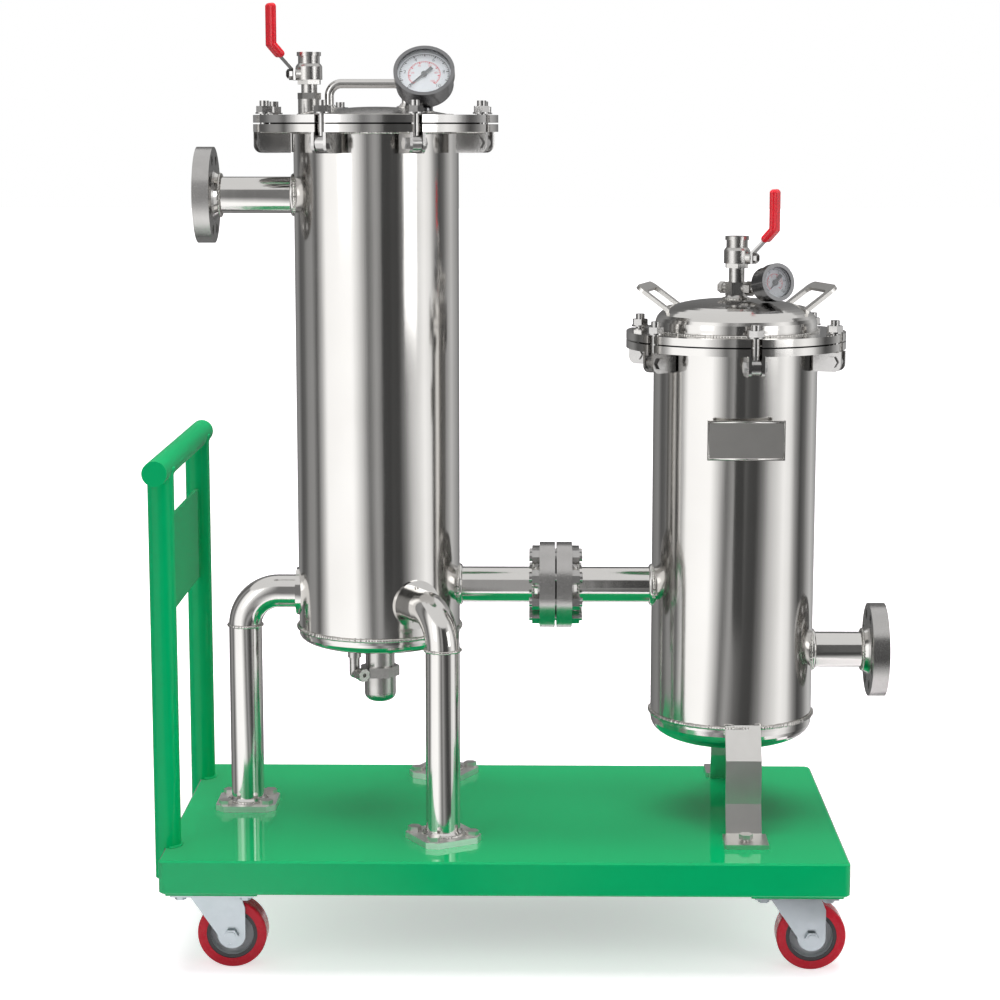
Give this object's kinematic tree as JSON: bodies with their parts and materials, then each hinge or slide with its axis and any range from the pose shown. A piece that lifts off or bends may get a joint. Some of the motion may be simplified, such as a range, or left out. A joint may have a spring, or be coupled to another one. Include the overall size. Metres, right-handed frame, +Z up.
{
  "type": "skid-mounted filter system",
  "caption": "Wheeled skid with a tall cartridge filter and a short bag filter joined by a flanged pipe, with push handle, vents and gauges.",
  "frame": {"origin": "on the floor, at the middle of the whole unit's bounding box seen from above", "axes": "+X along the deck from the push handle to the lower nozzle, +Y to the back, +Z up"},
  "size_m": [0.971, 0.48, 1.2424],
  "materials": {
    "stainless": "polished",
    "cast_stainless": "cast and blasted",
    "bolt_stainless": "turned",
    "green_paint": "gloss",
    "zinc": "zinc plated",
    "tyre_red": "polyurethane",
    "red_sleeve": "dipped vinyl",
    "gasket": "matt",
    "dial": "matt",
    "glass": "clear",
    "black_paint": "matt",
    "filter_media": "wound"
  },
  "bodies": {
    "skid": {"deck": "green_paint", "push_handle": "green_paint", "caster_plates": "zinc", "caster_bolts": "zinc", "deck_bolts": "bolt_stainless", "tall_shell": "stainless", "tall_bottom_head": "stainless", "tall_legs": "stainless", "tall_lid": "stainless", "tall_lid_handle": "stainless", "bag_shell": "stainless", "bag_bottom_head": "stainless", "bag_legs": "stainless", "bag_lid": "stainless", "bag_lid_handles": "stainless", "swing_lugs": "bolt_stainless", "gaskets": "gasket", "upper_nozzle": "stainless", "lower_nozzle": "stainless", "link_pipes": "stainless", "link_bolts_set": "bolt_stainless", "vent_risers": "cast_stainless", "tall_vent_valve": "cast_stainless", "bag_vent_valve": "cast_stainless", "gauge_cases": "stainless", "gauge_dials": "dial", "gauge_glasses": "glass", "name_plate": "stainless", "drain_fitting": "cast_stainless", "cartridge_set": "filter_media", "bag_basket": "stainless"},
    "tall_swing_bolt_1": {"tall_swing_bolt_1": "bolt_stainless"},
    "tall_swing_bolt_2": {"tall_swing_bolt_2": "bolt_stainless"},
    "tall_swing_bolt_3": {"tall_swing_bolt_3": "bolt_stainless"},
    "tall_swing_bolt_4": {"tall_swing_bolt_4": "bolt_stainless"},
    "tall_swing_bolt_5": {"tall_swing_bolt_5": "bolt_stainless"},
    "tall_swing_bolt_6": {"tall_swing_bolt_6": "bolt_stainless"},
    "tall_swing_bolt_7": {"tall_swing_bolt_7": "bolt_stainless"},
    "tall_swing_bolt_8": {"tall_swing_bolt_8": "bolt_stainless"},
    "bag_swing_bolt_1": {"bag_swing_bolt_1": "bolt_stainless"},
    "bag_swing_bolt_2": {"bag_swing_bolt_2": "bolt_stainless"},
    "bag_swing_bolt_3": {"bag_swing_bolt_3": "bolt_stainless"},
    "bag_swing_bolt_4": {"bag_swing_bolt_4": "bolt_stainless"},
    "bag_swing_bolt_5": {"bag_swing_bolt_5": "bolt_stainless"},
    "bag_swing_bolt_6": {"bag_swing_bolt_6": "bolt_stainless"},
    "fork_front_left": {"fork_front_left": "zinc"},
    "wheel_front_left": {"wheel_front_left": "tyre_red"},
    "fork_front_right": {"fork_front_right": "zinc"},
    "wheel_front_right": {"wheel_front_right": "tyre_red"},
    "fork_back_left": {"fork_back_left": "zinc"},
    "wheel_back_left": {"wheel_back_left": "tyre_red"},
    "fork_back_right": {"fork_back_right": "zinc"},
    "wheel_back_right": {"wheel_back_right": "tyre_red"},
    "tall_vent_lever": {"tall_vent_lever": "bolt_stainless", "tall_vent_grip": "red_sleeve"},
    "bag_vent_lever": {"bag_vent_lever": "bolt_stainless", "bag_vent_grip": "red_sleeve"},
    "tall_gauge_pointer": {"tall_gauge_pointer": "black_paint"},
    "bag_gauge_pointer": {"bag_gauge_pointer": "black_paint"},
    "drain_knob": {"drain_knob": "cast_stainless"}
  },
  "joints": [
    {"name": "tall_swing_bolt_1_pivot", "type": "hinge", "parent": "skid", "child": "tall_swing_bolt_1", "pos_m": [-0.06115, 0.08255, 1.062], "axis": [-0.3827, 0.9239, 0], "range_deg": [0, 105]},
    {"name": "tall_swing_bolt_2_pivot", "type": "hinge", "parent": "skid", "child": "tall_swing_bolt_2", "pos_m": [-0.14395, 0.16535, 1.062], "axis": [-0.9239, 0.3827, 0], "range_deg": [0, 105]},
    {"name": "tall_swing_bolt_3_pivot", "type": "hinge", "parent": "skid", "child": "tall_swing_bolt_3", "pos_m": [-0.26105, 0.16535, 1.062], "axis": [-0.9239, -0.3827, 0], "range_deg": [0, 105]},
    {"name": "tall_swing_bolt_4_pivot", "type": "hinge", "parent": "skid", "child": "tall_swing_bolt_4", "pos_m": [-0.34385, 0.08255, 1.062], "axis": [-0.3827, -0.9239, 0], "range_deg": [0, 105]},
    {"name": "tall_swing_bolt_5_pivot", "type": "hinge", "parent": "skid", "child": "tall_swing_bolt_5", "pos_m": [-0.34385, -0.03455, 1.062], "axis": [0.3827, -0.9239, 0], "range_deg": [0, 105]},
    {"name": "tall_swing_bolt_6_pivot", "type": "hinge", "parent": "skid", "child": "tall_swing_bolt_6", "pos_m": [-0.26105, -0.11735, 1.062], "axis": [0.9239, -0.3827, 0], "range_deg": [0, 105]},
    {"name": "tall_swing_bolt_7_pivot", "type": "hinge", "parent": "skid", "child": "tall_swing_bolt_7", "pos_m": [-0.14395, -0.11735, 1.062], "axis": [0.9239, 0.3827, 0], "range_deg": [0, 105]},
    {"name": "tall_swing_bolt_8_pivot", "type": "hinge", "parent": "skid", "child": "tall_swing_bolt_8", "pos_m": [-0.06115, -0.03455, 1.062], "axis": [0.3827, 0.9239, 0], "range_deg": [0, 105]},
    {"name": "bag_swing_bolt_1_pivot", "type": "hinge", "parent": "skid", "child": "bag_swing_bolt_1", "pos_m": [0.29187, -0.11275, 0.777], "axis": [0.9945, 0.1045, 0], "range_deg": [0, 105]},
    {"name": "bag_swing_bolt_2_pivot", "type": "hinge", "parent": "skid", "child": "bag_swing_bolt_2", "pos_m": [0.40311, -0.03193, 0.777], "axis": [0.4067, 0.9135, 0], "range_deg": [0, 105]},
    {"name": "bag_swing_bolt_3_pivot", "type": "hinge", "parent": "skid", "child": "bag_swing_bolt_3", "pos_m": [0.38874, 0.10482, 0.777], "axis": [-0.5878, 0.809, 0], "range_deg": [0, 105]},
    {"name": "bag_swing_bolt_4_pivot", "type": "hinge", "parent": "skid", "child": "bag_swing_bolt_4", "pos_m": [0.26313, 0.16075, 0.777], "axis": [-0.9945, -0.1045, 0], "range_deg": [0, 105]},
    {"name": "bag_swing_bolt_5_pivot", "type": "hinge", "parent": "skid", "child": "bag_swing_bolt_5", "pos_m": [0.15189, 0.07993, 0.777], "axis": [-0.4067, -0.9135, 0], "range_deg": [0, 105]},
    {"name": "bag_swing_bolt_6_pivot", "type": "hinge", "parent": "skid", "child": "bag_swing_bolt_6", "pos_m": [0.16626, -0.05682, 0.777], "axis": [0.5878, -0.809, 0], "range_deg": [0, 105]},
    {"name": "swivel_front_left", "type": "hinge", "parent": "skid", "child": "fork_front_left", "pos_m": [-0.4055, -0.18, 0.098], "axis": [0, 0, 1], "continuous": true},
    {"name": "spin_front_left", "type": "hinge", "parent": "fork_front_left", "child": "wheel_front_left", "pos_m": [-0.3835, -0.18, 0.045], "axis": [0, 1, 0], "continuous": true},
    {"name": "swivel_front_right", "type": "hinge", "parent": "skid", "child": "fork_front_right", "pos_m": [0.3465, -0.18, 0.098], "axis": [0, 0, 1], "continuous": true},
    {"name": "spin_front_right", "type": "hinge", "parent": "fork_front_right", "child": "wheel_front_right", "pos_m": [0.3685, -0.18, 0.045], "axis": [0, 1, 0], "continuous": true},
    {"name": "swivel_back_left", "type": "hinge", "parent": "skid", "child": "fork_back_left", "pos_m": [-0.4055, 0.18, 0.098], "axis": [0, 0, 1], "continuous": true},
    {"name": "spin_back_left", "type": "hinge", "parent": "fork_back_left", "child": "wheel_back_left", "pos_m": [-0.3835, 0.18, 0.045], "axis": [0, 1, 0], "continuous": true},
    {"name": "swivel_back_right", "type": "hinge", "parent": "skid", "child": "fork_back_right", "pos_m": [0.3465, 0.18, 0.098], "axis": [0, 0, 1], "continuous": true},
    {"name": "spin_back_right", "type": "hinge", "parent": "fork_back_right", "child": "wheel_back_right", "pos_m": [0.3685, 0.18, 0.045], "axis": [0, 1, 0], "continuous": true},
    {"name": "tall_vent_turn", "type": "hinge", "parent": "skid", "child": "tall_vent_lever", "pos_m": [-0.31215, 0.0115, 1.1515], "axis": [-0.866, -0.5, 0], "range_deg": [0, 90]},
    {"name": "bag_vent_turn", "type": "hinge", "parent": "skid", "child": "bag_vent_lever", "pos_m": [0.29915, 0.0115, 0.9105], "axis": [-0.866, 0.5, 0], "range_deg": [0, 90]},
    {"name": "tall_gauge_needle", "type": "hinge", "parent": "skid", "child": "tall_gauge_pointer", "pos_m": [-0.1365, -0.018, 1.153], "axis": [0, 0.809, -0.5878], "range_deg": [0, 270]},
    {"name": "bag_gauge_needle", "type": "hinge", "parent": "skid", "child": "bag_gauge_pointer", "pos_m": [0.3255, -0.032, 0.881], "axis": [-0.4623, 0.8695, -0.1736], "range_deg": [0, 270]},
    {"name": "drain_knob_turn", "type": "hinge", "parent": "skid", "child": "drain_knob", "pos_m": [-0.22879, 0.00081, 0.346], "axis": [0.6428, -0.766, 0], "range_deg": [0, 270]}
  ]
}
